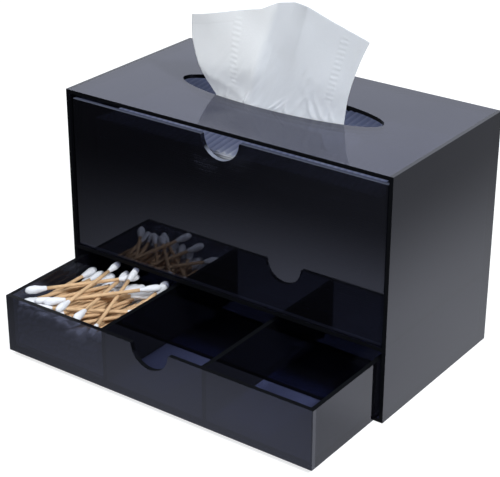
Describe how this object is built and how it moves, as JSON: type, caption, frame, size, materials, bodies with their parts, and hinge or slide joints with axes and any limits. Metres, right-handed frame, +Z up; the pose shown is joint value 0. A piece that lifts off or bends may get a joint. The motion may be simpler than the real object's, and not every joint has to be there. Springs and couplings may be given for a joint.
{
  "type": "tissue box with drawers",
  "caption": "Smoked clear box with an oval tissue slot in its top, a tissue drawer behind a notched front, and a shallow divided drawer for swabs that stands open below.",
  "frame": {"origin": "middle of the casing's rectangular footprint, on the surface that the casing stands on", "axes": "+X to the right seen from the front, -Y out of the front, the way the drawers open, +Z up"},
  "size_m": [0.24, 0.196, 0.225],
  "materials": {
    "casing_acrylic": "polished smoked acrylic sheet, nearly black, see-through where it is lit",
    "drawer_acrylic": "polished smoked acrylic sheet with polished edges",
    "cotton_swabs": "white cotton wound on pale wooden sticks",
    "folded_tissue": "soft folded tissue paper with short embossed dashes",
    "pulled_tissue": "soft thin tissue paper, slightly see-through, with embossed bands"
  },
  "bodies": {
    "casing": {"left_side_panel": "casing_acrylic", "right_side_panel": "casing_acrylic", "top_panel": "casing_acrylic", "back_panel": "casing_acrylic", "base_panel": "casing_acrylic", "middle_shelf": "casing_acrylic", "pulled_tissue": "pulled_tissue"},
    "tissue_drawer": {"tissue_drawer_front": "drawer_acrylic", "tissue_drawer_left_wall": "drawer_acrylic", "tissue_drawer_right_wall": "drawer_acrylic", "tissue_drawer_back": "drawer_acrylic", "tissue_drawer_floor": "drawer_acrylic", "tissue_stack": "folded_tissue"},
    "swab_drawer": {"swab_drawer_front": "drawer_acrylic", "swab_drawer_left_wall": "drawer_acrylic", "swab_drawer_right_wall": "drawer_acrylic", "swab_drawer_back": "drawer_acrylic", "swab_drawer_floor": "drawer_acrylic", "left_divider": "drawer_acrylic", "right_divider": "drawer_acrylic", "cotton_swabs": "cotton_swabs"}
  },
  "joints": [
    {"name": "swab_drawer_slide", "type": "slide", "parent": "casing", "child": "swab_drawer", "axis": [0, -1, 0], "range_m": [-0.0705, 0.031]},
    {"name": "tissue_drawer_slide", "type": "slide", "parent": "casing", "child": "tissue_drawer", "axis": [0, -1, 0], "range_m": [0, 0.1]}
  ]
}
